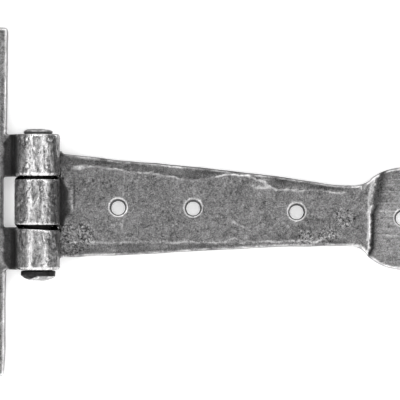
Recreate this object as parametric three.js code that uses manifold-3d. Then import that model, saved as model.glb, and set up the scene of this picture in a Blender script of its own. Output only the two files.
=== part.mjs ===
// Hand-forged tee hinge with a penny end: a frame plate with two rolled knuckles, a tapered
// strap with one rolled knuckle between them, and a riveted pin that the strap swings on.
//
// Millimetres, +Z up. The origin is the centre of the frame plate's back face. The backs of
// the plate and the strap lie in the plane y = 0, and the front faces -Y. The pin is
// parallel to Z, and the strap points along +X.

import * as THREE from "three";
import { mergeVertices } from "three/addons/utils/BufferGeometryUtils.js";
import Module from "manifold-3d";

const wasm = await Module();
wasm.setup();

// ---------- Driving dimensions ----------

// Stock
const SHEET = 3.0; // thickness of the forged sheet
const PENNY_SHEET = 2.0; // the strap's end is drawn down thinner

// Barrel and pin
const BARREL_RADIUS = 7.9;
const BORE_RADIUS = BARREL_RADIUS - SHEET;
const PIN_RADIUS = 4.6; // leaves 0.3 mm all round in the knuckles' bores
const PIN_X = 23.55; // from the plate's centre to the pin's axis
const HEAD_GAP = 0.2; // between a rivet head and the knuckle's end

// Frame plate
const PLATE_HEIGHT = 127;
const PLATE_WIDTH = 24;
const PLATE_CORNER = 1.2;
const PLATE_LEAN = 0.5; // degrees that its edge beside the strap leans out towards the top
const PLATE_BEND = 13.0; // from the pin's axis to where a knuckle's bend starts
const KNUCKLE_INNER = 9.4; // the frame knuckles span this to KNUCKLE_OUTER, up and down
const KNUCKLE_OUTER = 24.8;
const PLATE_HOLES = [34, 54]; // heights of the screw holes, up and down

// Strap
const STRAP_DROOP = 2.1; // degrees that the blade is forged off square to the pin
const BLADE_DROP = 0.95; // its centre line crosses the pin's axis this far below the middle
const STRAP_BEND = 11.2; // from the pin's axis to where the knuckle's bend starts
const STRAP_KNUCKLE_HALF = 8.25; // half the height of the strap's knuckle
const STRAP_ROOT = 7.4; // from the pin's axis to the blade's inner edge
const ROOT_HALF = 19.0; // half the blade's width at its root
const NECK_HALF = 10.8; // half the blade's width at the neck
const NECK_AT = 113.7; // the neck's distance from the pin's axis
const UPPER_FILLET = 11;
const LOWER_FILLET = 7;
const PENNY_RADIUS = 18.8;
const PENNY_AT = 133.4; // the penny's centre, from the pin's axis
const PENNY_DROP = 0.25; // and below the blade's centre line
const STEP_AT = 121.8; // where the sheet steps down to the penny
const STRAP_HOLES = [
  [29.0, 0],
  [56.5, 0.8],
  [94.4, 0.8],
  [PENNY_AT, 0],
]; // along the blade's centre line and above it

// Punched screw holes, wider at the front
const HOLE_BACK = 2.4;
const HOLE_FRONT = 3.05;
const HOLE_RIM = 3.55; // the deburred rim on the face
const RIM_DEPTH = 0.4;

// Rivet heads: radius, height of the straight side, rise of the dome
const TOP_HEAD = { radius: 5.35, side: 0.8, dome: 0.7 };
const FOOT_HEAD = { radius: 6.3, side: 1.7, dome: 1.8 };

// Facets
const TURN_STEPS = 48; // facets round a turned piece
const HOLE_STEPS = 28;
const ARC_DIVISIONS = 28; // each arc of an outline gets twice as many facets
const PAST = 1; // how far a cutting tool reaches past a face

// ---------- Solids ----------

function toSolid(geometry) {
  const bare = geometry.index ? geometry.toNonIndexed() : geometry.clone();
  bare.deleteAttribute("normal");
  bare.deleteAttribute("uv");
  const merged = mergeVertices(bare, 1e-4);
  return new wasm.Manifold(
    new wasm.Mesh({
      numProp: 3,
      vertProperties: merged.attributes.position.array,
      triVerts: new Uint32Array(merged.index.array),
    }),
  );
}

function toMesh(name, solid, material) {
  const { numProp, numVert, vertProperties, triVerts } = solid.getMesh();
  const position = new Float32Array(numVert * 3);
  for (let i = 0; i < numVert; i++) {
    position.set(vertProperties.subarray(i * numProp, i * numProp + 3), i * 3);
  }
  const geometry = new THREE.BufferGeometry();
  geometry.setAttribute("position", new THREE.BufferAttribute(position, 3));
  geometry.setIndex(new THREE.BufferAttribute(triVerts, 1));
  geometry.computeVertexNormals();
  const mesh = new THREE.Mesh(geometry, material);
  mesh.name = name;
  return mesh;
}

// An outline drawn in X and Z, as thick as given, standing forward from the plane y = 0.
function sheetFromOutline(shape, thickness) {
  const geometry = new THREE.ExtrudeGeometry(shape, {
    depth: thickness,
    bevelEnabled: false,
    curveSegments: ARC_DIVISIONS,
  });
  return geometry.rotateX(Math.PI / 2);
}

// ---------- Rolled knuckle ----------

// Section across the pin. Here the pin's axis is the origin, u points along the leaf and v
// to the front. The leaf bends forward out of its plane, then rolls over the front of the
// pin and round its back, and stops short of its own bend.
function knuckleSection(bendAt, leafOverlap) {
  const middle = BARREL_RADIUS - SHEET / 2;
  const bendRadius = bendAt ** 2 / (4 * middle); // the two arcs meet tangent to each other
  const bendV = bendRadius - middle;
  const meet = Math.atan2(bendV, bendAt); // from the axis to the bend's centre
  const rollEnd = endOfRoll(bendAt, bendV, bendRadius + SHEET / 2);
  const shape = new THREE.Shape();
  shape.moveTo(bendAt + leafOverlap, -BARREL_RADIUS + SHEET);
  shape.lineTo(bendAt, -BARREL_RADIUS + SHEET);
  shape.absarc(bendAt, bendV, bendRadius - SHEET / 2, -Math.PI / 2, meet - Math.PI, true);
  shape.absarc(0, 0, BARREL_RADIUS, meet, rollEnd, false);
  shape.absarc(0, 0, BORE_RADIUS, rollEnd, meet, true);
  shape.absarc(bendAt, bendV, bendRadius + SHEET / 2, meet + Math.PI, 1.5 * Math.PI, false);
  shape.lineTo(bendAt + leafOverlap, -BARREL_RADIUS);
  shape.closePath();
  return shape;
}

// The angle where the roll's outer edge comes within SEAM of the bend's back.
function endOfRoll(bendAt, bendV, bendBackRadius) {
  const SEAM = 0.4;
  const reach = Math.hypot(bendAt, bendV);
  const clear = bendBackRadius + SEAM;
  const cosine = (reach ** 2 + BARREL_RADIUS ** 2 - clear ** 2) / (2 * reach * BARREL_RADIUS);
  return 2 * Math.PI + Math.atan2(bendV, bendAt) - Math.acos(cosine);
}

function knuckle(bendAt, leafOverlap, bottom, top) {
  const geometry = new THREE.ExtrudeGeometry(knuckleSection(bendAt, leafOverlap), {
    depth: top - bottom,
    bevelEnabled: false,
    curveSegments: ARC_DIVISIONS,
  });
  return geometry.translate(0, 0, bottom);
}

// ---------- Screw holes ----------

// A tapered punch with a flared rim, pointing back along +Y, for a face at y = -thickness.
function punch(x, z, thickness) {
  const profile = [
    [0, -PAST],
    [HOLE_BACK, -PAST],
    [HOLE_BACK, 0],
    [HOLE_FRONT, thickness - RIM_DEPTH],
    [HOLE_RIM, thickness],
    [HOLE_RIM, thickness + PAST],
    [0, thickness + PAST],
  ].map(([radius, height]) => new THREE.Vector2(radius, height));
  const geometry = new THREE.LatheGeometry(profile, HOLE_STEPS);
  return toSolid(geometry.rotateZ(Math.PI).translate(x, 0, z));
}

function withHoles(solid, places, thicknessAt) {
  return places.reduce((left, [x, z]) => left.subtract(punch(x, z, thicknessAt(x))), solid);
}

// ---------- Frame plate ----------

function plateOutline() {
  const side = PLATE_WIDTH / 2;
  const end = PLATE_HEIGHT / 2;
  const waist = PIN_X - PLATE_BEND; // cut back so that the knuckles can bend
  const leaning = (z) => side + z * Math.tan(THREE.MathUtils.degToRad(PLATE_LEAN));
  const r = PLATE_CORNER;
  const shape = new THREE.Shape();
  shape.absarc(-side + r, -end + r, r, Math.PI, 1.5 * Math.PI, false);
  shape.absarc(leaning(-end) - r, -end + r, r, -Math.PI / 2, 0, false);
  shape.lineTo(leaning(-KNUCKLE_OUTER), -KNUCKLE_OUTER);
  shape.lineTo(waist, -KNUCKLE_OUTER);
  shape.lineTo(waist, KNUCKLE_OUTER);
  shape.lineTo(leaning(KNUCKLE_OUTER), KNUCKLE_OUTER);
  shape.absarc(leaning(end) - r, end - r, r, 0, Math.PI / 2, false);
  shape.absarc(-side + r, end - r, r, Math.PI / 2, Math.PI, false);
  shape.closePath();
  return shape;
}

function framePlate(material) {
  let solid = toSolid(sheetFromOutline(plateOutline(), SHEET));
  const leafOverlap = 4;
  const spans = [
    [-KNUCKLE_OUTER, -KNUCKLE_INNER],
    [KNUCKLE_INNER, KNUCKLE_OUTER],
  ];
  for (const [bottom, top] of spans) {
    const rolled = knuckle(PLATE_BEND, leafOverlap, bottom, top);
    rolled.rotateZ(Math.PI).translate(PIN_X, -BARREL_RADIUS, 0);
    solid = solid.add(toSolid(rolled));
  }
  const places = PLATE_HOLES.flatMap((height) => [
    [0, height],
    [0, -height],
  ]);
  return toMesh("frame_plate", withHoles(solid, places, () => SHEET), material);
}

// ---------- Strap ----------

const bladeSlope = (ROOT_HALF - NECK_HALF) / NECK_AT; // each long edge leans in by this

// The centre of the fillet between a long edge of the blade and the penny's rim, taken from
// the penny's centre: s runs along the strap, and n across it towards that edge. The penny's
// centre lies pennyRise nearer to the edge than the blade's centre line does.
function filletCentre(radius, pennyRise) {
  const lift = radius * Math.hypot(1, bladeSlope);
  const offset = NECK_HALF - bladeSlope * (PENNY_AT - NECK_AT) + lift - pennyRise;
  // Solves s^2 + n^2 = reach^2 with n = offset - bladeSlope * s.
  const reach = PENNY_RADIUS + radius;
  const a = 1 + bladeSlope ** 2;
  const b = -2 * offset * bladeSlope;
  const c = offset ** 2 - reach ** 2;
  const s = (-b - Math.sqrt(b ** 2 - 4 * a * c)) / (2 * a);
  return { s, n: offset - bladeSlope * s };
}

function strapOutline() {
  const upper = filletCentre(UPPER_FILLET, -PENNY_DROP);
  const lower = filletCentre(LOWER_FILLET, PENNY_DROP);
  const square = Math.PI / 2 + Math.atan(bladeSlope); // from a long edge to its fillet's centre
  const upperTurn = Math.atan2(upper.n, upper.s); // where each fillet meets the penny's rim
  const lowerTurn = Math.atan2(lower.n, lower.s);
  const upperAt = [PENNY_AT + upper.s, upper.n - PENNY_DROP];
  const lowerAt = [PENNY_AT + lower.s, -lower.n - PENNY_DROP];
  const shape = new THREE.Shape();
  shape.moveTo(0, ROOT_HALF);
  shape.lineTo(0, -ROOT_HALF);
  shape.absarc(...lowerAt, LOWER_FILLET, square, Math.PI - lowerTurn, true);
  shape.absarc(PENNY_AT, -PENNY_DROP, PENNY_RADIUS, -lowerTurn, upperTurn, false);
  shape.absarc(...upperAt, UPPER_FILLET, upperTurn - Math.PI, -square, true);
  shape.closePath();
  return shape;
}

// The material in front of the thinner penny.
function pennyRelief() {
  const length = PENNY_AT + PENNY_RADIUS + PAST - STEP_AT;
  const width = 2 * (PENNY_RADIUS + PENNY_DROP + PAST);
  const depth = SHEET - PENNY_SHEET + PAST;
  const box = new THREE.BoxGeometry(length, depth, width);
  return box.translate(STEP_AT + length / 2, -PENNY_SHEET - depth / 2, 0);
}

// Opens the blade's inner edge beside the bend, so that only the bend joins the knuckle.
function bendRelief() {
  const length = STRAP_BEND - STRAP_ROOT + PAST;
  const box = new THREE.BoxGeometry(length, SHEET + 2 * PAST, 2 * STRAP_KNUCKLE_HALF);
  return box.translate(STRAP_BEND - length / 2, -SHEET / 2, 0);
}

function strap(material) {
  const leafOverlap = 4;
  const rolled = knuckle(STRAP_BEND, leafOverlap, -STRAP_KNUCKLE_HALF, STRAP_KNUCKLE_HALF);
  rolled.rotateX(Math.PI).translate(0, -BARREL_RADIUS, 0);
  let solid = toSolid(sheetFromOutline(strapOutline(), SHEET));
  solid = solid.subtract(toSolid(pennyRelief()));
  solid = withHoles(solid, STRAP_HOLES, (s) => (s > STEP_AT ? PENNY_SHEET : SHEET));
  solid = solid.rotate([0, STRAP_DROOP, 0]).translate([0, 0, -BLADE_DROP]);
  solid = solid.trimByPlane([1, 0, 0], STRAP_ROOT);
  solid = solid.subtract(toSolid(bendRelief())).add(toSolid(rolled));
  return toMesh("strap", solid.translate([PIN_X, 0, 0]), material);
}

// ---------- Pin ----------

// One dome as points from its rim to its crown.
function domePoints(head, rimHeight, direction) {
  const steps = 5;
  const points = [];
  for (let i = 0; i <= steps; i++) {
    const turn = (i / steps) * (Math.PI / 2);
    const radius = head.radius * Math.cos(turn);
    const height = rimHeight + direction * head.dome * Math.sin(turn);
    points.push([i === steps ? 0 : radius, height]);
  }
  return points;
}

function hingePin(material) {
  const under = KNUCKLE_OUTER + HEAD_GAP;
  const topRim = under + TOP_HEAD.side;
  const footRim = -under - FOOT_HEAD.side;
  const profile = [
    ...domePoints(FOOT_HEAD, footRim, -1).reverse(),
    [FOOT_HEAD.radius, -under],
    [PIN_RADIUS, -under],
    [PIN_RADIUS, under],
    [TOP_HEAD.radius, under],
    ...domePoints(TOP_HEAD, topRim, 1),
  ].map(([radius, height]) => new THREE.Vector2(radius, height));
  const geometry = new THREE.LatheGeometry(profile, TURN_STEPS);
  geometry.rotateX(Math.PI / 2).translate(PIN_X, -BARREL_RADIUS, 0);
  return toMesh("hinge_pin", toSolid(geometry), material);
}

// ---------- Materials and assembly ----------

function pewteredSteel(color, roughness) {
  return new THREE.MeshStandardMaterial({ color, roughness, metalness: 1 });
}

const hinge = new THREE.Group();
hinge.add(framePlate(pewteredSteel(0x8f8d90, 0.45)));
hinge.add(strap(pewteredSteel(0x7f7d7f, 0.5)));
hinge.add(hingePin(pewteredSteel(0x4c4a4d, 0.5)));

export default hinge;
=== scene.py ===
"""Hand-forged tee hinge with a penny end, in pewtered steel.

The frame plate, the strap and the pin are each shaped from rolled and cut sheet, then worked
over with hammer marks, drawn-down edges and rubbed high spots. Their colour also carries painted
shade in the roots, holes and gaps and on the knuckles' sides, a painted sheen on the knuckles and
painted highlights along the edges. Shaping is in millimetres in the part's own frame: the backs
of both leaves lie in the plane y = 0 and the front faces -Y. Each finished mesh is scaled to metres.
"""

import math
from types import SimpleNamespace

import bmesh
import bpy
import numpy as np
from mathutils import Matrix, Vector, noise


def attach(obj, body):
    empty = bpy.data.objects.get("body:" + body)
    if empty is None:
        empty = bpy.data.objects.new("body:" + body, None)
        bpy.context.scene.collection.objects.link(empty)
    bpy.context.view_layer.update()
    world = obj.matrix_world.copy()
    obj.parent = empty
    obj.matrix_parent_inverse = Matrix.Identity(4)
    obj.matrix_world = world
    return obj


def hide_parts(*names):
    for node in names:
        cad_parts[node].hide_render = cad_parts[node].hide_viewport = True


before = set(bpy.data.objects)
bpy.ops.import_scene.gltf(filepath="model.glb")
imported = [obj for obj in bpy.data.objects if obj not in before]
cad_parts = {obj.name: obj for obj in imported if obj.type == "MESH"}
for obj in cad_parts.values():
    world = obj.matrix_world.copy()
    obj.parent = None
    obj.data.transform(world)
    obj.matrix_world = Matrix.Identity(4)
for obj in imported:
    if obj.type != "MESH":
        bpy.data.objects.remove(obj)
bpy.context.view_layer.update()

# ---------- Dimensions, in millimetres ----------

SHEET = 3.0
BARREL_RADIUS = 7.9
BORE_RADIUS = 4.9
BORE_MARGIN = 1.2  # the hammering begins this far outside the bore
SEAM_GAP = 0.55
LEAF_OVERLAP = 4.0  # how far each rolled section runs on into its leaf
PIN_RADIUS = 4.6
PIN_X = 23.55
PIN_Y = -BARREL_RADIUS

PLATE_HALF_WIDTH = 12.0
PLATE_HALF_HEIGHT = 63.5
PLATE_LEAN = math.tan(math.radians(0.5))  # the inner edge leans towards the strap at the top
PLATE_BEND = 13.0
PLATE_CORNER = 1.5
PLATE_HOLES = tuple((0, side * height) for height in (34.0, 54.0) for side in (-1, 1))
EDGE_DRAWN_IN = 0.33
END_DRAWN_OUT = 0.45
KNUCKLE_INNER = 9.4
KNUCKLE_OUTER = 24.8

STRAP_DROOP = math.radians(2.1)
BLADE_DROP = 0.95
STRAP_BEND = 11.2
STRAP_KNUCKLE_HALF = 8.25
STRAP_ROOT = 7.4
PENNY_RADIUS = 18.8
PENNY_AT = 133.4
PENNY_DROP = 0.25
PENNY_SHEET = 1.9
EDGE_THINNING = 0.42
BLADE_END = 118.0
STRAP_HOLES = ((29.0, 0.0), (56.5, 0.8), (94.4, 0.8), (PENNY_AT, 0.0))

# The pin's head and foot stand this far above and below the middle.
PIN_SEAT = KNUCKLE_OUTER + 0.2

HOLE_BACK = 2.4
HOLE_FRONT = 2.95
HOLE_RIM = 3.37
PUNCH_TILT = math.radians(5.5)  # the punch leaned, so the back of each screw hole sits lower

LEAF_SKIN = 0.36
PIN_SKIN = 0.3

# Seeds for the hammering of the knuckles. Each also uses the seven numbers after it.
PLATE_BARREL_SEED = 21
STRAP_BARREL_SEED = 61

# ---------- Edges and marks, in millimetres ----------

# The blade's long edges, as distances along the strap and out from its centre line.
UPPER_EDGE = (
    (0, 19.4),
    (8.7, 18.9),
    (29, 17.4),
    (58, 15.8),
    (87, 13.6),
    (96, 12.5),
    (105, 11.5),
    (112, 11.1),
)
LOWER_EDGE = (
    (0, 19.4),
    (8.7, 19.1),
    (29, 17.6),
    (43, 16.4),
    (58, 15.0),
    (87, 12.4),
    (112, 11.1),
)
EDGE_RUN_ON = ((140, 12),)  # carries both edges on past the blade, under the penny

# How far in from each edge the blade was drawn down, along the strap.
UPPER_BAND = (
    (8, 4.3),
    (25, 3.1),
    (28, 3.2),
    (30.5, 3.9),
    (41, 3.6),
    (51, 5.0),
    (58, 4.6),
    (63, 3.4),
    (68, 1.3),
    (77, 1.1),
    (82, 2.4),
    (86, 4.8),
    (95, 3.9),
    (101, 3.0),
    (113, 2.7),
)
LOWER_BAND = (
    (8, 5.6),
    (21, 5.1),
    (40, 4.4),
    (56, 3.3),
    (64, 2.8),
    (76, 2.1),
    (98, 1.9),
    (102, 1.3),
    (105, 3.0),
    (109, 3.9),
    (113, 3.0),
    (116, 1.2),
)

# Where the blade steps down to the thinner penny: at each height, the place along the strap.
SHOULDER = ((-15, 119.9), (-12, 120.9), (-8, 121.3), (7, 121.0), (10, 121.5), (15, 122.5))

# Scratches on the plate, from one place to another across its face.
PLATE_SCRATCHES = (
    (7.0, 54.0, 11.2, 58.4),
    (9.0, 40.2, 11.4, 39.8),
    (-8, 22, -3.5, 26),
    (-6.5, 5, -5.8, 14),
    (2.5, -12, 6, -9),
    (-9, -30, -5.5, -33),
    (7.5, -46, 10.5, -43.5),
    (1.5, 12, 4, 3),
)

# Ring marks on the frame plate's knuckles, from a hollow punch, at x and z.
RING_MARKS = ((19.3, 22.7), (28.3, 22.7), (19.6, 13.2), (27.6, 12.6), (27.2, -12.4), (27.6, -20.6))

# Scratches on the strap, from one place to another, along it and up from its centre line.
STRAP_SCRATCHES = (
    (31, 13.5, 30.8, 4.5),
    (30.9, -4.5, 30.7, -8),
    (14, -13.6, 22, -13.8),
    (17.5, 9, 16.6, 6),
    (70, -3, 78, -7),
    (68.8, -10.8, 72.3, -9.4),
    (72.3, -9.4, 74.0, -10.6),
    (86, 2, 96, 4.5),
    (124, 5, 148, 5.6),
    (125, 2.2, 138, 2.4),
    (124, -7, 150, -6.2),
    (128, 9.5, 146, 9.2),
)

# Spots on the strap, each a place along it and up from its centre line, and a radius. The long
# spots are four times as long as they are high, so their place along is a quarter of the real one.
LONG_SPOT = 4
RUBBED_LONG_SPOTS = ((20.3, 9.6, 1.3), (20.6, 11.8, 1.0), (3.0, 13.9, 1.1), (4.0, 14.6, 0.9))
SMUDGED_LONG_SPOTS = ((22.4, -8.8, 2.4),)
PITTED_SPOTS = (
    (11.5, -15, 7),
    (16, -11, 6.5),
    (10.5, -9, 4),
    (111.8, -0.9, 5),
    (98.3, -8.6, 4),
    (106, -7.3, 5),
)


# ---------- Mesh helpers ----------


def arc(centre, radius, start, end, steps=28):
    """Points on an arc, from one angle to another, in degrees."""
    points = []
    for i in range(steps + 1):
        turn = math.radians(start + (end - start) * i / steps)
        points.append((centre[0] + radius * math.cos(turn), centre[1] + radius * math.sin(turn)))
    return points


def rectangle(left, right, low, high):
    return [(left, low), (right, low), (right, high), (left, high)]


def prism(outline, low, high):
    """An outline in X and Y, extruded along Z from low to high."""
    bm = bmesh.new()
    base = bm.faces.new([bm.verts.new((x, y, low)) for x, y in outline])
    swept = bmesh.ops.extrude_face_region(bm, geom=[base])
    top = [v for v in swept["geom"] if isinstance(v, bmesh.types.BMVert)]
    bmesh.ops.translate(bm, verts=top, vec=(0, 0, high - low))
    bmesh.ops.recalc_face_normals(bm, faces=bm.faces)
    return bm


def turned(profile, steps=64):
    """A profile of radius and height, from axis to axis, spun about Z."""
    bm = bmesh.new()
    verts = [bm.verts.new((radius, 0, height)) for radius, height in profile]
    edges = [bm.edges.new(pair) for pair in zip(verts, verts[1:])]
    bmesh.ops.spin(
        bm,
        geom=verts + edges,
        cent=(0, 0, 0),
        axis=(0, 0, 1),
        dvec=(0, 0, 0),
        angle=2 * math.pi,
        steps=steps,
        use_merge=True,
    )
    bmesh.ops.remove_doubles(bm, verts=bm.verts, dist=1e-4)
    bmesh.ops.recalc_face_normals(bm, faces=bm.faces)
    return bm


def placed(bm, matrix, name):
    """An object made from a bmesh that has been put in place."""
    bmesh.ops.transform(bm, matrix=matrix, verts=bm.verts)
    mesh = bpy.data.meshes.new(name)
    bm.to_mesh(mesh)
    bm.free()
    obj = bpy.data.objects.new(name, mesh)
    bpy.context.scene.collection.objects.link(obj)
    return obj


def apply_modifiers(obj):
    depsgraph = bpy.context.evaluated_depsgraph_get()
    mesh = bpy.data.meshes.new_from_object(obj.evaluated_get(depsgraph))
    obj.modifiers.clear()
    old = obj.data
    obj.data = mesh
    bpy.data.meshes.remove(old)


def combine(obj, tools, operation):
    """Joins other solids to obj or cuts them from it, and removes them."""
    for tool in tools:
        boolean = obj.modifiers.new(tool.name, "BOOLEAN")
        boolean.operation = operation
        boolean.solver = "EXACT"
        boolean.object = tool
    apply_modifiers(obj)
    for tool in tools:
        bpy.data.objects.remove(tool)


def remesh(obj, size):
    """An even, dense skin that can be hammered."""
    modifier = obj.modifiers.new("skin", "REMESH")
    modifier.mode = "VOXEL"
    modifier.voxel_size = size
    modifier.use_smooth_shade = True
    apply_modifiers(obj)


# ---------- Points, masks and noise ----------


def points_of(mesh):
    co = np.empty(len(mesh.vertices) * 3)
    mesh.vertices.foreach_get("co", co)
    return co.reshape(-1, 3)


def normals_of(mesh):
    normals = np.empty(len(mesh.vertices) * 3)
    mesh.vertex_normals.foreach_get("vector", normals)
    return normals.reshape(-1, 3)


def set_points(mesh, co):
    mesh.vertices.foreach_set("co", co.ravel())
    mesh.update()


def relaxed(mesh, co, rounds, factor=0.5):
    """The points after each has moved part of the way to its neighbours' mean, some rounds."""
    edges = np.empty(len(mesh.edges) * 2, dtype=np.int64)
    mesh.edges.foreach_get("vertices", edges)
    a, b = edges.reshape(-1, 2).T
    count = np.bincount(np.concatenate([a, b]), minlength=len(co))[:, None]
    for _ in range(rounds):
        mean = np.zeros_like(co)
        for axis in range(co.shape[1]):
            mean[:, axis] = np.bincount(a, co[b, axis], len(co)) + np.bincount(b, co[a, axis], len(co))
        co = co + factor * (mean / count - co)
    return co


def step(value, low, high):
    """Smoothly 0 below low and 1 above high."""
    t = np.clip((value - low) / (high - low), 0, 1)
    return t * t * (3 - 2 * t)


def line(distance, width):
    """1 where a distance is 0, fading to nothing about twice the width away on both sides."""
    return np.exp(-((distance / width) ** 2))


def lumps(co, size, seed):
    """Smooth noise from about -1 to 1. size is one length, or one for each axis."""
    scaled = co / np.asarray(size, dtype=float) + 17.3 * seed
    return np.array([noise.noise(Vector(point)) for point in scaled]) * 1.6


def along(pairs, where):
    """A quantity given at a few places, with straight runs between them."""
    places, values = zip(*pairs)
    return np.interp(where, places, values)


def patch(first, second, spots):
    """1 in the middle of each spot, given as two coordinates and a radius, and 0 outside it."""
    masks = [1 - step(np.hypot(first - a, second - b), 0.5 * r, r) for a, b, r in spots]
    return np.max(masks, axis=0)


def scratches(first, second, lines):
    """1 on each thin line, given by its two ends, and 0 away from it."""
    masks = []
    for a0, b0, a1, b1 in lines:
        length = math.hypot(a1 - a0, b1 - b0)
        way = ((a1 - a0) / length, (b1 - b0) / length)
        reach = np.clip((first - a0) * way[0] + (second - b0) * way[1], 0, length)
        away = np.hypot(first - a0 - reach * way[0], second - b0 - reach * way[1])
        masks.append(line(away, 0.28))
    return np.max(masks, axis=0)


def store(mesh, name, values):
    attribute = mesh.attributes.new(name, "FLOAT", "POINT")
    attribute.data.foreach_set("value", np.clip(values, 0, 1).astype(np.float32))


def store_wear(mesh, co):
    """Marks what a rub would brighten, the crests and corners, and what stays dark, the hollows."""
    set_points(mesh, co)
    out = normals_of(mesh)
    fine = np.einsum("ij,ij->i", relaxed(mesh, co, 3) - co, out)
    broad = np.einsum("ij,ij->i", relaxed(mesh, co, 16) - co, out)
    store(mesh, "crest", step(-fine, 0.012, 0.07) + 0.6 * step(-broad, 0.05, 0.2))
    store(mesh, "hollow", step(fine, 0.012, 0.06) + 0.6 * step(broad, 0.04, 0.2))


# ---------- Screw holes and worn edges ----------


def punch(x, z):
    """The tool that a screw hole is punched with, wider towards the front."""
    profile = [
        (0, -1),
        (HOLE_BACK, -1),
        (HOLE_BACK, 0),
        (HOLE_FRONT, SHEET - 0.4),
        (HOLE_RIM, SHEET + 0.1),
        (HOLE_RIM, SHEET + 1),
        (0, SHEET + 1),
    ]
    foot = Matrix.Translation((x, 0, z - SHEET * math.tan(PUNCH_TILT)))
    return placed(turned(profile), foot @ Matrix.Rotation(math.pi / 2 - PUNCH_TILT, 4, "X"), "punch")


def hole_distance(co, holes):
    """Distance from the nearest hole's centre, across the face."""
    return np.min([np.hypot(co[:, 0] - x, co[:, 2] - z) for x, z in holes], axis=0)


def hole_shadow(co, holes):
    """Marks the walls of the screw holes, for painted shadow."""
    return step(HOLE_FRONT + 0.16 - hole_distance(co, holes), 0, 0.25)


def hole_ring(co, holes):
    """The lip round each screw hole, rubbed bright and given a painted highlight."""
    return 0.48 * line(hole_distance(co, holes) - HOLE_RIM + 0.1, 0.24)


def softened_edge(from_edge, width, drop):
    """How far a worn bevel sinks the face, from an edge inwards."""
    return -drop * np.clip(1 - from_edge / width, 0, 1)


# ---------- Knuckles ----------


def rolled_section(bend_at):
    """A knuckle's section, with the pin's axis as the origin, the leaf along u and the front at +v."""
    middle = BARREL_RADIUS - SHEET / 2
    bend_radius = bend_at**2 / (4 * middle)
    bend = (bend_at, bend_radius - middle)
    meet = math.degrees(math.atan2(bend[1], bend[0]))
    reach = math.hypot(*bend)
    clear = bend_radius + SHEET / 2 + SEAM_GAP
    cosine = (reach**2 + BARREL_RADIUS**2 - clear**2) / (2 * reach * BARREL_RADIUS)
    end = 360 + meet - math.degrees(math.acos(cosine))
    return [
        (bend_at + LEAF_OVERLAP, -BARREL_RADIUS + SHEET),
        *arc(bend, bend_radius - SHEET / 2, -90, meet - 180),
        *arc((0, 0), BARREL_RADIUS, meet, end, 72)[1:],
        *arc((0, 0), BORE_RADIUS, end, meet, 60),
        *arc(bend, bend_radius + SHEET / 2, meet + 180, 270)[1:],
        (bend_at + LEAF_OVERLAP, -BARREL_RADIUS),
    ]


def unrolled(co):
    """The knuckles' round laid flat: the distance round the pin, and the height."""
    u, v = co[:, 0] - PIN_X, co[:, 1] - PIN_Y
    return np.column_stack([np.arctan2(u, -v) * BARREL_RADIUS, co[:, 2], np.zeros(len(co))])


def veins(co, seed):
    """Thin folds that run along a knuckle, between its facets: shallow grooves with painted shade."""
    flat = unrolled(co)
    flat[:, 0] += 0.6 * lumps(flat, (30, 3, 5), seed + 5)
    lines = line(lumps(flat, (2.4, 14, 5), seed + 6), 0.16)
    return lines * step(lumps(flat, (3, 6, 5), seed + 7), -0.5, 0.4)


def hammer_barrel(co, out, seed):
    """Outward working of a knuckle's round: long facets along the pin, and small dents."""
    flat = unrolled(co)
    flat[:, 0] += 0.5 * lumps(flat, (40, 4, 5), seed + 3)
    broad = lumps(flat, (3.6, 20.0, 5), seed)
    dents = lumps(flat, (1.6, 2.0, 5), seed + 1)
    grain = lumps(flat, (0.8, 1.4, 5), seed + 2)
    narrow = lumps(flat, (1.5, 5.0, 5), seed + 4)
    worked = 0.14 * broad + 0.045 * narrow - 0.12 * step(dents, 0.4, 0.9) + 0.04 * grain
    on_round = 1 - step(np.abs(out[:, 2]), 0.4, 0.8)
    return on_round * (worked - 0.06 * veins(co, seed))


def rounded_end(co, height, way):
    """The points with a knuckle's rim drawn in, at an end that faces up or down."""
    moved = co.copy()
    near = step((co[:, 2] - height) * way, -1.0, 0.1) * (np.abs(co[:, 2] - height) < 1.3)
    scale = 1 - 0.05 * near
    moved[:, 0] = PIN_X + (co[:, 0] - PIN_X) * scale
    moved[:, 1] = PIN_Y + (co[:, 1] - PIN_Y) * scale
    return moved


def ring_dents(co):
    """Shallow ring marks on the front of the frame plate's knuckles."""
    height = np.zeros(len(co))
    for x, z in RING_MARKS:
        radius = np.hypot(co[:, 0] - x, co[:, 2] - z)
        height -= 0.16 * line(radius - 1.05, 0.32) * (co[:, 1] < PIN_Y)
    return height


def behind_pin(co):
    """1 on the back half of the knuckles, whose ends were left longer and nearly close the gaps."""
    return step(co[:, 1], PIN_Y + 0.3, PIN_Y + 2.3) * (np.abs(co[:, 0] - PIN_X) < BARREL_RADIUS + 0.6)


def gap_shadow(co, out):
    """Marks the ends of the knuckles, which face the gaps, for painted shadow that keeps them black."""
    from_axis = np.abs(co[:, 0] - PIN_X)
    height = np.abs(co[:, 2])
    low = STRAP_KNUCKLE_HALF - 0.9
    near_gap = step(height, low, low + 0.5) * (1 - step(height, KNUCKLE_INNER + 1.4, KNUCKLE_INNER + 1.8))
    facing = step(np.abs(out[:, 2]), 0.55, 0.85)
    return near_gap * np.maximum(facing, behind_pin(co)) * (1 - step(from_axis, 7.7, 8.3))


def bore_shadow(radius):
    """Marks the bore for painted shadow, from its distance to the pin's axis."""
    return step(BORE_RADIUS + 2.2 - radius, 0, 1.6)


def barrel_shade(co, seed):
    """Painted shade on a knuckle's round: darker towards its sides, and dark along its folds."""
    sides = step(np.abs(co[:, 0] - PIN_X - 0.2), 3.0, 4.9)
    return 0.65 * sides + 0.5 * veins(co, seed)


def on_barrel(from_pin):
    """1 on a knuckle's round and 0 on its leaf, from the distance towards the leaf."""
    return step(BARREL_RADIUS - from_pin, 0, 0.8)


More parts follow.
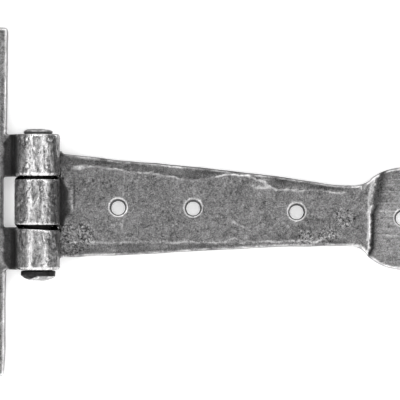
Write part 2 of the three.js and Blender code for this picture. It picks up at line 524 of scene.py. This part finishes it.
def root_shade_and_patina(from_pin, knuckled, border, softness):
    """Marks the bent root of a leaf, from beside its round out to a border, for painted shade and dark
    patina.
    """
    return knuckled * step(from_pin, 7.2, 8.4) * (1 - step(from_pin, border - softness, border + softness))


# ---------- Frame plate ----------


def rounded_corner(x, z, start):
    """A quarter round inside a corner, running anticlockwise from an angle in degrees."""
    centre = (x - math.copysign(PLATE_CORNER, x), z - math.copysign(PLATE_CORNER, z))
    return arc(centre, PLATE_CORNER, start, start + 90, 8)


def plate_outline():
    def inner_edge(z):
        return PLATE_HALF_WIDTH + PLATE_LEAN * z

    waist = PIN_X - PLATE_BEND
    end = PLATE_HALF_HEIGHT
    outline = rounded_corner(-PLATE_HALF_WIDTH, -end, 180) + rounded_corner(inner_edge(-end), -end, 270)
    for side in (-1, 1):
        shelf = side * KNUCKLE_OUTER
        notch = [(inner_edge(shelf), shelf + 1.2 * side), (waist + 0.6, shelf), (waist, shelf)]
        outline += notch if side < 0 else notch[::-1]
    return outline + rounded_corner(inner_edge(end), end, 0) + rounded_corner(-PLATE_HALF_WIDTH, end, 90)


def frame_plate_blank():
    """The plate, cut and punched, with two knuckles rolled from its own metal."""
    upright = Matrix.Rotation(math.pi / 2, 4, "X")
    to_pin = Matrix.Translation((PIN_X, PIN_Y, 0)) @ Matrix.Rotation(math.pi, 4, "Z")
    plate = placed(prism(plate_outline(), 0, SHEET), upright, "frame_plate_forged")
    section = rolled_section(PLATE_BEND)
    spans = ((-KNUCKLE_OUTER, -KNUCKLE_INNER), (KNUCKLE_INNER, KNUCKLE_OUTER))
    combine(plate, [placed(prism(section, *span), to_pin, "knuckle") for span in spans], "UNION")
    combine(plate, [punch(x, z) for x, z in PLATE_HOLES], "DIFFERENCE")
    remesh(plate, LEAF_SKIN)
    return plate


def lengthened_outer_knuckles(co):
    """Both knuckles reach further in towards the middle one, and the lower one's end slants away."""
    knuckle = co[:, 0] > PIN_X - PLATE_BEND
    across = step(co[:, 0], PIN_X - 8, PIN_X + 8)
    behind = behind_pin(co)
    near_lower_end = step(co[:, 2], -14, -KNUCKLE_INNER) * (co[:, 2] < -KNUCKLE_INNER + 1)
    moved = co.copy()
    moved[:, 2] -= knuckle * near_lower_end * (0.05 + 0.8 * across) * (1 - behind)
    near_middle = 1 - step(np.abs(co[:, 2]), 10, 14)
    moved[:, 2] -= (0.2 + 0.12 * behind) * knuckle * near_middle * np.sign(co[:, 2])
    return moved


def drawn_plate(co):
    """The plate's points after its edges were drawn in and waved, and its ends drawn out."""
    co = lengthened_outer_knuckles(co)
    clear_of_knuckle = step(np.abs(co[:, 2]), KNUCKLE_OUTER, KNUCKLE_OUTER + 3)
    co[:, 0] -= EDGE_DRAWN_IN * clear_of_knuckle * step(co[:, 0], 8, 11.5)
    wave = lumps(co * (0.3, 0, 1), 9, 9) * step(np.abs(co[:, 0]), 7, 11)
    co[:, 0] += 0.16 * clear_of_knuckle * wave
    co[:, 0] -= 0.3 * (1 - step(co[:, 0], PIN_X - 8.5, PIN_X - 1)) * step(co[:, 0], 13, 14.5)
    co[:, 0] -= 0.4 * step(-co[:, 2], 52, 63) * step(co[:, 0], 8, 11.5)
    co[:, 2] += END_DRAWN_OUT * (step(co[:, 2], 59.5, 62.5) - step(-co[:, 2], 59.5, 62.5))
    rounded = co
    for side in (-1, 1):
        rounded = rounded_end(rounded, side * KNUCKLE_INNER, -side)
        rounded = rounded_end(rounded, side * KNUCKLE_OUTER, side)
    return np.where((co[:, 0] > 14.5)[:, None], rounded, co)


def plate_places(co):
    """Where each point of the drawn plate lies, from the pin and from the nearest edge."""
    at = SimpleNamespace()
    at.from_pin = PIN_X - co[:, 0]
    at.radius = np.hypot(at.from_pin, co[:, 1] - PIN_Y)
    at.rolled = 1 - step(at.from_pin, 8, 9.5)
    at.front = step(-co[:, 1], 0.8, 2.2)
    edge = PLATE_HALF_WIDTH - EDGE_DRAWN_IN + PLATE_LEAN * co[:, 2]
    from_side = np.minimum(edge - co[:, 0], co[:, 0] + PLATE_HALF_WIDTH)
    from_edge = np.minimum(from_side, PLATE_HALF_HEIGHT + END_DRAWN_OUT - np.abs(co[:, 2]))
    at_root = (np.abs(co[:, 2]) < KNUCKLE_OUTER) & (co[:, 0] > 8)
    at.from_edge = np.where(at_root, np.maximum(from_edge, 2), from_edge)
    return at


def plate_hammering(co, out, at):
    """How far hammering moved each point of the plate, along its normal."""
    bevel = 1.1 * (1 + 0.35 * lumps(co, 6, 3))
    sheet_work = 0.12 * lumps(co, 9, 4) + 0.06 * lumps(co, 3, 5) - 0.05 * step(lumps(co, 2.2, 6), 0.4, 1)
    sheet_work += softened_edge(at.from_edge, bevel, 0.36)
    on_knuckles = at.rolled * hammer_barrel(co, out, PLATE_BARREL_SEED)
    on_sheet = (1 - at.rolled) * at.front * sheet_work
    return (on_knuckles + on_sheet) * (at.radius >= BORE_RADIUS + BORE_MARGIN) + ring_dents(co)


def mark_plate(mesh, co, out, at):
    """Stores the plate's painted shade and patina, rounds, painted highlights and scratches."""
    height = np.abs(co[:, 2])
    knuckled = step(KNUCKLE_OUTER + 0.8 - height, 0, 0.6) * (height > KNUCKLE_INNER - 1)
    border = 13.0 - 2.2 * step(height, 21, 25) + 0.35 * lumps(co, 2.5, 7)
    root = root_shade_and_patina(at.from_pin, knuckled, border, 0.5)
    # Painted shade at the leaf's root, where dark patina also lies, and painted shadow on the hole walls.
    store(mesh, "soot_and_shade", np.maximum(root, hole_shadow(co, PLATE_HOLES)))
    # Painted shade in the bore and on the knuckle ends that face the gaps.
    store(mesh, "buried_shade", np.maximum(bore_shadow(at.radius), gap_shadow(co, out)))

    waist_at = PIN_X - PLATE_BEND
    waist = step(co[:, 0], waist_at - 1.3, waist_at - 0.5) * (height < KNUCKLE_INNER)
    bevel_shade_line = line(at.from_edge - 1.9, 0.4) * (1 - at.rolled) * step(lumps(co, 5, 8), -0.6, 0.4)
    outer_rim = step(height, KNUCKLE_OUTER - 1.8, KNUCKLE_OUTER - 0.8)
    rim_patches = outer_rim * step(lumps(co, (1.8, 2.0, 2.0), 11), -0.3, 0.4)
    round_shade = (barrel_shade(co, PLATE_BARREL_SEED) + 0.5 * rim_patches) * at.rolled * knuckled
    # Painted shade on the knuckles' sides and folds, along the bevel's inner edge and on the edge in the
    # notch; the rims get darker patches.
    store(mesh, "shade", round_shade + 0.5 * bevel_shade_line + 0.9 * waist)
    # The knuckles' rounds, where the steel's colour gets a painted sheen.
    store(mesh, "round", knuckled * on_barrel(at.from_pin))

    # Painted highlights along the plate's edges and round its holes.
    edge_highlight = 0.55 * line(at.from_edge - 0.65, 0.38) * (1 - at.rolled)
    store(mesh, "rim", np.maximum(edge_highlight, hole_ring(co, PLATE_HOLES)) * step(-co[:, 1], 0.8, 1.6))
    store(mesh, "ridge", 0.5 * scratches(co[:, 0], co[:, 2], PLATE_SCRATCHES) * at.front)


def make_frame_plate():
    plate = frame_plate_blank()
    mesh = plate.data
    co = drawn_plate(relaxed(mesh, points_of(mesh), 3))
    set_points(mesh, co)
    out = normals_of(mesh)
    at = plate_places(co)
    co = co + out * plate_hammering(co, out, at)[:, None]
    store_wear(mesh, co)
    mark_plate(mesh, co, out, at)
    finish(plate, "frame", "frame_plate", "plate_steel", 0.31)


# ---------- Strap ----------


def strap_matrix():
    """From the strap's own axes, along it and across it, to the part's own frame."""
    return Matrix.Translation((PIN_X, 0, -BLADE_DROP)) @ Matrix.Rotation(STRAP_DROOP, 4, "Y")


def strap_axes(co):
    """Each point's distance along the strap from the pin, and up from its centre line."""
    x, z = co[:, 0] - PIN_X, co[:, 2] + BLADE_DROP
    cos, sin = math.cos(STRAP_DROOP), math.sin(STRAP_DROOP)
    return x * cos - z * sin, x * sin + z * cos


def strap_hole_places():
    """The strap's screw holes, at x and z."""
    centres = [strap_matrix() @ Vector((s, 0, n)) for s, n in STRAP_HOLES]
    return [(centre.x, centre.z) for centre in centres]


def strap_outline():
    """The blade's edges run into the penny through a fillet on each side."""
    upper = arc((114.3, 21.6), 10.5, -97, -43, 16)
    lower = arc((115.0, -17.95), 6.9, 95, 45, 16)
    rim = arc((PENNY_AT, -PENNY_DROP), PENNY_RADIUS, -137, 137, 96)
    outline = [(s, -n) for s, n in LOWER_EDGE] + lower + rim[2:-2]
    outline += upper[::-1] + [(s, n) for s, n in reversed(UPPER_EDGE)]
    return outline


def strap_blank():
    """The strap, cut and punched, with the middle knuckle rolled from its own metal."""
    upright = strap_matrix() @ Matrix.Rotation(math.pi / 2, 4, "X")
    blade = placed(prism(strap_outline(), 0, SHEET), upright, "strap_forged")
    square_up = Matrix.Translation((PIN_X, 1, 0)) @ Matrix.Rotation(math.pi / 2, 4, "X")
    behind = rectangle(-9, STRAP_ROOT, -40, 40)
    beside = rectangle(0, STRAP_BEND, -STRAP_KNUCKLE_HALF, STRAP_KNUCKLE_HALF)
    trims = [placed(prism(shape, 0, 6), square_up, "trim") for shape in (behind, beside)]
    combine(blade, trims, "DIFFERENCE")
    knuckle = prism(rolled_section(STRAP_BEND), -STRAP_KNUCKLE_HALF, STRAP_KNUCKLE_HALF)
    to_pin = Matrix.Translation((PIN_X, PIN_Y, 0)) @ Matrix.Rotation(math.pi, 4, "X")
    combine(blade, [placed(knuckle, to_pin, "knuckle")], "UNION")
    combine(blade, [punch(x, z) for x, z in strap_hole_places()], "DIFFERENCE")
    remesh(blade, LEAF_SKIN)
    return blade


def lengthened_middle_knuckle(co):
    """The middle knuckle bulges left and reaches up and down, furthest behind the pin."""
    knuckle = strap_axes(co)[0] < STRAP_ROOT + 1
    moved = co.copy()
    moved[:, 0] -= 0.7 * (1 - step(co[:, 0], PIN_X - 8, PIN_X))
    longer = (0.2 + 0.72 * behind_pin(moved)) * knuckle
    moved[:, 2] += longer * (step(co[:, 2], 5, 8) - step(-co[:, 2], 5, 8))
    return moved


def strap_places(co):
    """Where each point of the strap lies, along it, from the pin and from its edges."""
    at = SimpleNamespace()
    at.s, at.n = strap_axes(co)
    at.from_pin = co[:, 0] - PIN_X
    at.radius = np.hypot(at.from_pin, co[:, 1] - PIN_Y)
    at.rolled = 1 - step(at.s, 7.6, 9)
    at.sheet = step(at.s, STRAP_BEND - 1.0, STRAP_BEND + 1.5)
    at.from_upper = along(UPPER_EDGE + EDGE_RUN_ON, at.s) - at.n
    at.from_lower = along(LOWER_EDGE + EDGE_RUN_ON, at.s) + at.n
    in_penny = PENNY_RADIUS - np.hypot(at.s - PENNY_AT, at.n + PENNY_DROP)
    in_blade = np.where(at.s < BLADE_END, np.minimum(at.from_upper, at.from_lower), -9)
    at.from_edge = np.maximum(in_blade, in_penny)
    return at


def edge_wave(at):
    """How far each long edge wanders up or down."""
    flat = np.column_stack([at.s, 9 * np.sign(at.n), np.zeros(len(at.s))])
    return 0.14 * lumps(flat, (8, 5, 5), 48) * at.sheet * step(np.abs(at.n), 5, 12)


def drawn_band(from_edge, band):
    """1 at an edge, easing to nothing where its drawn-down band ends."""
    return step(band - from_edge, -0.6, 0.6) * (0.55 + 0.45 * step(-from_edge, -3, 0))


def add_drawn_work(co, at):
    """Adds to the places where the sheet was drawn down: past the shoulder, and along both edges."""
    at.shoulder = along(SHOULDER, at.n) + 0.22 * lumps(co, 2.4, 31) + 0.12 * lumps(co, 1.1, 29)
    at.past_shoulder = (at.s - at.shoulder) / (1.0 + 0.9 * step(at.n, 0, 6))
    at.blade = 1 - step(at.s, 110, 117)
    at.wiggle = 0.3 * lumps(co, 5, 32) + 0.25 * lumps(co, 1.6, 33)
    at.upper_band = along(UPPER_BAND, at.s) + at.wiggle
    at.lower_band = along(LOWER_BAND, at.s) + at.wiggle
    bands = (drawn_band(at.from_upper, at.upper_band), drawn_band(at.from_lower, at.lower_band))
    at.drawn = np.maximum(*bands) * at.blade


def thinned(co, at):
    """The points after the sheet was drawn thinner towards its back."""
    penny = step(at.past_shoulder, 0, 1.7)
    thickness = SHEET - (SHEET - PENNY_SHEET) * penny - EDGE_THINNING * at.drawn
    squeezed = co[:, 1] * (1 + at.sheet * (thickness / SHEET - 1))
    moved = co.copy()
    moved[:, 1] = np.where(co[:, 1] > -SHEET - 0.2, squeezed, co[:, 1])
    return moved


def add_ridges(co, at):
    """Adds to the places the broken lip that was raised along the inside of each band."""
    at.broken = step(lumps(co, (5, 2, 2), 34) + 0.5 * lumps(co, 1.3, 39), -0.3, 0.5)
    upper = line(at.from_upper - at.upper_band, 0.34)
    lower = line(at.from_lower - at.lower_band, 0.34)
    at.ridge = np.maximum(upper, 0.5 * lower) * (0.3 + 0.7 * at.broken) * at.blade


def strap_hammering(co, out, at):
    """How far hammering moved each point of the strap, along its normal."""
    sheet_work = 0.11 * lumps(co, 10, 35) + 0.05 * lumps(co, 3.2, 36) + 0.02 * lumps(co, 1.2, 37)
    sheet_work += 0.05 * at.ridge - 0.06 * step(lumps(co, 2.0, 38), 0.45, 1)
    sheet_work += softened_edge(at.from_edge, 0.9 * (1 + 0.3 * lumps(co, 4, 30)), 0.28)
    front = step(-co[:, 1], 0.6, 1.6)
    on_knuckle = at.rolled * hammer_barrel(co, out, STRAP_BARREL_SEED)
    on_sheet = (1 - at.rolled) * front * sheet_work * at.sheet
    return (on_knuckle + on_sheet) * (at.radius >= BORE_RADIUS + BORE_MARGIN)


def strap_shade(co, at):
    """Painted shade at the shoulder's foot, in a crease and on the knuckle; darker drawn bands; smudges.
    """
    foot = step(at.past_shoulder, 0.4, 1.0) * (1 - step(at.past_shoulder, 1.5, 3.4))
    in_bands = at.drawn * np.clip(0.65 + 0.5 * lumps(co, (9, 2, 2), 47), 0, 1)
    spots = patch(at.s / LONG_SPOT, at.n, SMUDGED_LONG_SPOTS) * step(lumps(co, 2.0, 49), -0.8, 0.6)
    crease = line(at.from_pin - 12.9, 0.3) * step(6.5 - np.abs(co[:, 2] - 3.5), 0, 1.5) * at.sheet
    round_shade = barrel_shade(co, STRAP_BARREL_SEED) * on_barrel(at.from_pin)
    return np.max([foot, in_bands, 0.5 * spots, 0.8 * crease, round_shade], axis=0)


def strap_rubs(co, at, border):
    """The strap's bright marks: ridges, the root's lip, scratches, spots and the shoulder's lip."""
    root_lip = line(at.from_pin - border - 1.0, 0.3) * step(6.5 - np.abs(co[:, 2] - 1.5), 0, 1.5)
    marks = 0.65 * scratches(at.s, at.n, STRAP_SCRATCHES) * (0.3 + 0.7 * at.broken)
    spots = patch(at.s / LONG_SPOT, at.n + 0.3 * at.wiggle, RUBBED_LONG_SPOTS)
    spots = spots * step(lumps(co, (2, 1, 1), 44), -0.7, 0.2)
    shoulder_lip = line(at.s - at.shoulder + 0.45, 0.42) * step(at.n + lumps(co, 2.5, 45), -11, -9)
    return np.max([at.ridge, root_lip * (0.5 + 0.5 * at.broken), marks, spots, shoulder_lip], axis=0)


def mark_strap(mesh, co, out, at):
    """Stores the strap's painted shade and patina, rounds, lighter penny, painted highlights, rubs and
    pits.
    """
    holes = strap_hole_places()
    knuckled = step(STRAP_KNUCKLE_HALF + 0.8 - np.abs(co[:, 2]), 0, 0.8)
    border = 11.0 - 2.4 * step(co[:, 2], 3, 9) - 2.6 * step(-co[:, 2], 3, 10) + 0.35 * lumps(co, 2.5, 42)
    root = root_shade_and_patina(at.from_pin, knuckled, border, 0.7)
    # Painted shade at the leaf's root, where dark patina also lies, and painted shadow on the hole walls.
    store(mesh, "soot_and_shade", np.maximum(root, hole_shadow(co, holes)))
    # Painted shade in the bore and on the knuckle ends that face the gaps.
    store(mesh, "buried_shade", np.maximum(bore_shadow(at.radius), gap_shadow(co, out)))
    store(mesh, "shade", strap_shade(co, at))
    # The knuckle's round, where the steel's colour gets a painted sheen.
    store(mesh, "round", on_barrel(at.from_pin))
    store(mesh, "light", 0.55 * step(at.s - at.shoulder, 2, 5))
    store(mesh, "ridge", strap_rubs(co, at, border) * step(-co[:, 1], 1.2, 1.8) * at.sheet)
    # Painted highlights along the strap's edges and round its holes.
    edge_highlight = 0.6 * line(at.from_edge - 0.3, 0.5) * step(lumps(co, 3, 43), -0.8, 0.4)
    store(mesh, "rim", np.maximum(edge_highlight, hole_ring(co, holes)) * step(-co[:, 1], 0.7, 1.4) * at.sheet)
    store(mesh, "pitted", patch(at.s, at.n, PITTED_SPOTS))


def make_strap():
    strap = strap_blank()
    mesh = strap.data
    co = lengthened_middle_knuckle(relaxed(mesh, points_of(mesh), 3))
    set_points(mesh, co)
    out = normals_of(mesh)
    at = strap_places(co)
    co[:, 2] += edge_wave(at)
    add_drawn_work(co, at)
    co = thinned(co, at)
    add_ridges(co, at)
    co = co + out * strap_hammering(co, out, at)[:, None]
    store_wear(mesh, co)
    mark_strap(mesh, co, out, at)
    finish(strap, "strap", "strap", "strap_steel", 0.28)


# ---------- Pin ----------


def pin_profile():
    """The shank, a wide domed foot below it and a low domed head above it."""
    foot = [(6.1 * math.sin(t), -PIN_SEAT - 1.9 - 1.7 * math.cos(t)) for t in np.linspace(0.2, 1.57, 8)]
    head = [(5.2 * math.sin(t), PIN_SEAT + 0.8 + 0.75 * math.cos(t)) for t in np.linspace(1.5, 0.2, 8)]
    return [
        (0, -PIN_SEAT - 3.6),
        *foot,
        (6.35, -PIN_SEAT - 1.7),
        (6.35, -PIN_SEAT),
        (PIN_RADIUS, -PIN_SEAT),
        (PIN_RADIUS, PIN_SEAT),
        (5.35, PIN_SEAT),
        (5.35, PIN_SEAT + 0.75),
        *head,
        (0, PIN_SEAT + 1.55),
    ]


def mark_pin(mesh, co):
    """Stores painted shade on the pin's sides, lower on the foot's left, and the nick where it ends."""
    across = co[:, 0] - PIN_X
    below = -co[:, 2] - PIN_SEAT
    in_front = step(PIN_Y - co[:, 1], 0.5, 1.5)
    band_end = 1.85 + 1.25 * step(-across, -0.4, 3.6) * in_front
    top = step(co[:, 2], PIN_SEAT + 0.7, PIN_SEAT + 1.0)
    dome = np.maximum(top, step(below - band_end, 0, 0.35))
    from_nick = np.hypot((across + 0.5) / 0.95, (below - 2.35) / 0.55)
    lip = line(below - band_end - 0.3, 0.22) * (1 - step(across, -0.5, 0.5))
    # Painted shade on the shank and on the sides of the head and foot; only the domes stay clear.
    store(mesh, "soot_and_shade", 0.8 * (1 - dome))
    # The nick's dark middle is painted shade; the nick is not cut into the dome.
    store(mesh, "shade", line(from_nick, 0.55) * in_front)
    store(mesh, "ridge", np.maximum(lip, line(from_nick - 1, 0.35)) * in_front * dome)
    between = 1 - step(np.abs(co[:, 2]), PIN_SEAT - 0.3, PIN_SEAT)
    foot_band = step(below, -0.2, 0) * (1 - step(below - band_end, -0.15, 0.15))
    # Painted shade on the shank between the head and foot, and on a band round the foot's side.
    store(mesh, "buried_shade", np.maximum(between, 0.75 * foot_band))


def make_pin():
    pin = placed(turned(pin_profile()), Matrix.Translation((PIN_X, PIN_Y, 0)), "hinge_pin_forged")
    remesh(pin, PIN_SKIN)
    mesh = pin.data
    co = relaxed(mesh, points_of(mesh), 3)
    set_points(mesh, co)
    ends = step(np.abs(co[:, 2]), PIN_SEAT + 0.2, PIN_SEAT + 0.6)
    height = ends * (0.16 * lumps(co, 3.0, 51) + 0.08 * lumps(co, 1.3, 52))
    co = co + normals_of(mesh) * height[:, None]
    co[:, 0] += 0.45 * step(-co[:, 2], PIN_SEAT + 1.6, PIN_SEAT + 2.2)
    store_wear(mesh, co)
    mark_pin(mesh, co)
    finish(pin, "frame", "hinge_pin", "pin_steel", 0.40)


# ---------- Nodes ----------


class Value:
    """A node's output that takes part in sums and products."""

    def __init__(self, nodes, socket):
        self.nodes = nodes
        self.socket = socket

    def math(self, operation, first, second):
        return self.nodes.node("ShaderNodeMath", {"operation": operation}, {0: first, 1: second})

    def __add__(self, other):
        return self.math("ADD", self, other)

    def __radd__(self, other):
        return self.math("ADD", other, self)

    def __sub__(self, other):
        return self.math("SUBTRACT", self, other)

    def __rsub__(self, other):
        return self.math("SUBTRACT", other, self)

    def __mul__(self, other):
        return self.math("MULTIPLY", self, other)

    def __rmul__(self, other):
        return self.math("MULTIPLY", other, self)

    def __pow__(self, other):
        return self.math("POWER", self, other)


class Nodes:
    """Adds nodes to one material or world."""

    def __init__(self, owner):
        owner.use_nodes = True
        self.owner = owner
        self.tree = owner.node_tree

    def named(self, name):
        return self.tree.nodes[name]

    def node(self, kind, settings, inputs, output=0):
        made = self.tree.nodes.new(kind)
        for key, value in settings.items():
            setattr(made, key, value)
        for key, value in inputs.items():
            self.feed(made, key, value)
        return Value(self, made.outputs[output])

    def feed(self, node, key, value):
        if isinstance(value, Value):
            self.tree.links.new(value.socket, node.inputs[key])
        else:
            node.inputs[key].default_value = value

    def attribute(self, name):
        return self.node("ShaderNodeAttribute", {"attribute_name": name}, {}, "Fac")

    def grain(self, size_mm, detail=2.0, scale=(1, 1, 1), roughness=0.6):
        """Noise of one grain size. A scale under 1 draws it out along that axis."""
        place = self.node("ShaderNodeTexCoord", {}, {}, "Object")
        inputs = {
            "Vector": self.node("ShaderNodeMapping", {}, {"Vector": place, "Scale": scale}),
            "Scale": 1000.0 / size_mm,
            "Detail": detail,
            "Roughness": roughness,
        }
        return self.node("ShaderNodeTexNoise", {}, inputs, "Fac")

    def ramp(self, value, low, high, out_low=0.0, out_high=1.0):
        settings = {"interpolation_type": "SMOOTHSTEP"}
        inputs = {"Value": value, "From Min": low, "From Max": high, "To Min": out_low, "To Max": out_high}
        return self.node("ShaderNodeMapRange", settings, inputs, "Result")

    def grey(self, value, tint):
        """A colour of one brightness and a faint tint."""
        parts = {"Red": value * tint[0], "Green": value * tint[1], "Blue": value * tint[2]}
        return self.node("ShaderNodeCombineColor", {}, parts)


# ---------- Steel ----------

MARKS = ("crest", "hollow", "soot_and_shade", "ridge", "round", "shade", "rim", "pitted", "light", "buried_shade")


def pewtered_steel(name, brightness):
    """Steel with a rubbed pewter finish: mottled grey, darker in the hollows, bright on the crests."""
    nodes = Nodes(bpy.data.materials.new(name))
    crest, hollow, soot_and_shade, ridge, rounded, shade, rim, pitted, light, buried_shade = map(nodes.attribute, MARKS)
    patches = nodes.grain(9, 3)
    mottle = nodes.grain(1.8, 3)
    fine = nodes.grain(0.45, 2)
    coarse = nodes.grain(0.8, 3, (1, 1, 1), 0.8)
    streaks = nodes.grain(1.6, 3, (1, 1, 0.2))
    threads = nodes.grain(0.7, 2, (1, 1, 0.6))
    brushed = nodes.grain(0.7, 2, (0.12, 1, 1))
    specks = nodes.ramp(nodes.grain(1.0, 1), 0.57, 0.72)
    pits = nodes.ramp(nodes.grain(1.3, 2), 0.56, 0.72)

    tone = brightness + 0.12 * (patches - 0.5) + 0.26 * (mottle - 0.5) + 0.42 * (fine - 0.5)
    tone = tone + 0.05 * specks - 0.08 * pits + pitted * (1.3 * (coarse - 0.5))
    # Painted sheen: the knuckles' rounds are lifted in colour and streaked along the pin.
    on_knuckles = 0.75 * (streaks - 0.5) + 0.6 * (threads - 0.5) + 0.17
    on_penny = 0.08 + 0.6 * (brushed - 0.5)
    tone = tone + rounded * on_knuckles + light * on_penny
    # The rims add painted highlights along the edges and round the holes; crests and ridges are rubbed
    # bright.
    tone = tone + 0.32 * crest + 0.27 * ridge + 0.42 * rim - 0.18 * hollow
    # Painted shade darkens the roots (with their dark patina), hole walls, pin sides, gaps, bore and
    # knuckle sides.
    tone = tone * (1 - soot_and_shade * (0.90 - 0.45 * streaks)) * (1 - 0.5 * shade) * (1 - 0.95 * buried_shade)
    tone = nodes.ramp(tone, 0.0, 1.0, 0.02, 0.95)
    rough = 0.42 + 0.22 * (mottle - 0.5) - 0.10 * crest + 0.1 * hollow + 0.15 * soot_and_shade - 0.12 * rounded
    relief = 0.4 * mottle + 0.3 * fine + 0.25 * specks - 0.4 * pits
    bump = {"Strength": 0.7, "Distance": 0.0002, "Height": relief}

    surface = nodes.named("Principled BSDF")
    nodes.feed(surface, "Base Color", nodes.grey(tone, (1.0, 0.99, 0.995)))
    nodes.feed(surface, "Metallic", 1.0)
    nodes.feed(surface, "Roughness", rough)
    nodes.feed(surface, "Normal", nodes.node("ShaderNodeBump", {}, bump, "Normal"))
    return nodes.owner


def finish(obj, body, node, slot, brightness):
    """Scales a shaped piece to metres, gives it its steel, and puts it on its body."""
    obj.data.transform(Matrix.Scale(0.001, 4))
    obj.data.materials.clear()
    obj.data.materials.append(pewtered_steel(slot, brightness))
    obj.data.polygons.foreach_set("use_smooth", [True] * len(obj.data.polygons))
    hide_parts(node)
    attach(obj, body)


# ---------- Stage, in metres ----------

WHITE = (1, 1, 1, 1)
STAGE_X = 0.08
PAPER_Y = 0.0012
FLOOR_Z = -0.11


def matt_white(name, glow):
    """A matt white surface with a little light of its own."""
    nodes = Nodes(bpy.data.materials.new(name))
    looks = {
        "Base Color": (0.9, 0.9, 0.9, 1),
        "Roughness": 1.0,
        "Specular IOR Level": 0.0,
        "Emission Color": WHITE,
        "Emission Strength": glow,
    }
    for socket, value in looks.items():
        nodes.feed(nodes.named("Principled BSDF"), socket, value)
    return nodes


def backdrop_material():
    """White paper. It shows only to a camera in front of it, and never hides the hinge's back."""
    nodes = matt_white("white_paper", 0.28)
    seen = nodes.node("ShaderNodeLightPath", {}, {}, "Is Camera Ray")
    behind = nodes.node("ShaderNodeNewGeometry", {}, {}, "Backfacing")
    clear = nodes.node("ShaderNodeBsdfTransparent", {}, {})
    paper = Value(nodes, nodes.named("Principled BSDF").outputs[0])
    mixed = nodes.node("ShaderNodeMixShader", {}, {0: seen * (1 - behind), 1: clear, 2: paper})
    nodes.feed(nodes.named("Material Output"), "Surface", mixed)
    return nodes.owner


def stage_plane(name, size, matrix, material):
    bm = bmesh.new()
    bmesh.ops.create_grid(bm, x_segments=1, y_segments=1, size=size)
    plane = placed(bm, matrix, name)
    plane.data.materials.append(material)


def softbox(name, azimuth, elevation, distance, width, height, power):
    """An area light turned to the hinge. Azimuth 0 is straight in front, and positive is to the right."""
    turn, lift = math.radians(azimuth), math.radians(elevation)
    out = Vector((math.sin(turn) * math.cos(lift), -math.cos(turn) * math.cos(lift), math.sin(lift)))
    data = bpy.data.lights.new(name, "AREA")
    data.shape = "RECTANGLE"
    data.size = width
    data.size_y = height
    data.energy = power
    light = bpy.data.objects.new(name, data)
    light.location = Vector((STAGE_X, 0, 0)) + out * distance
    light.rotation_euler = out.to_track_quat("Z", "Y").to_euler()
    light.visible_camera = False
    bpy.context.scene.collection.objects.link(light)


def make_world():
    """White to the camera, and to everything else a soft grey room with a bright ceiling and floor."""
    world = bpy.data.worlds.new("studio")
    bpy.context.scene.world = world
    nodes = Nodes(world)
    direction = nodes.node("ShaderNodeTexCoord", {}, {}, "Generated")
    height = nodes.node("ShaderNodeSeparateXYZ", {}, {0: direction}, "Z")
    room = nodes.named("Background")
    nodes.feed(room, "Color", WHITE)
    nodes.feed(room, "Strength", 0.32 + 0.9 * height**4)
    white = nodes.node("ShaderNodeBackground", {}, {"Color": WHITE})
    seen = nodes.node("ShaderNodeLightPath", {}, {}, "Is Camera Ray")
    mixed = nodes.node("ShaderNodeMixShader", {}, {0: seen, 1: Value(nodes, room.outputs[0]), 2: white})
    nodes.feed(nodes.named("World Output"), "Surface", mixed)


def make_stage():
    bpy.context.scene.view_settings.view_transform = "Standard"
    make_world()
    upright = Matrix.Translation((STAGE_X, PAPER_Y, 0.3)) @ Matrix.Rotation(math.pi / 2, 4, "X")
    stage_plane("paper", 0.7, upright, backdrop_material())
    floor = matt_white("pale_floor", 0.6).owner
    stage_plane("floor", 1.5, Matrix.Translation((STAGE_X, 0, FLOOR_Z)), floor)
    softbox("left_softbox", -38, 0, 1.3, 0.36, 1.2, 4.6)
    softbox("right_softbox", 33, 0, 1.3, 0.34, 1.2, 4.2)
    softbox("upper_softbox", 0, 42, 1.3, 1.2, 0.36, 4.0)
    softbox("lower_softbox", 0, -42, 1.3, 1.2, 0.36, 4.0)
    softbox("back_left", -140, 20, 1.4, 0.5, 1.2, 3)
    softbox("back_right", 140, 20, 1.4, 0.5, 1.2, 3)


def make_camera():
    """A long lens, square to the hinge and 1.2 m in front of the pin."""
    data = bpy.data.cameras.new("camera")
    data.sensor_width = 36
    data.lens = 296.3
    data.clip_end = 20
    camera = bpy.data.objects.new("camera", data)
    camera.location = (0.08253, PIN_Y * 0.001 - 1.2, 0.00073)
    camera.rotation_euler = (math.pi / 2, 0, 0)
    bpy.context.scene.collection.objects.link(camera)
    bpy.context.scene.camera = camera


make_frame_plate()
make_strap()
make_pin()
make_stage()
make_camera()
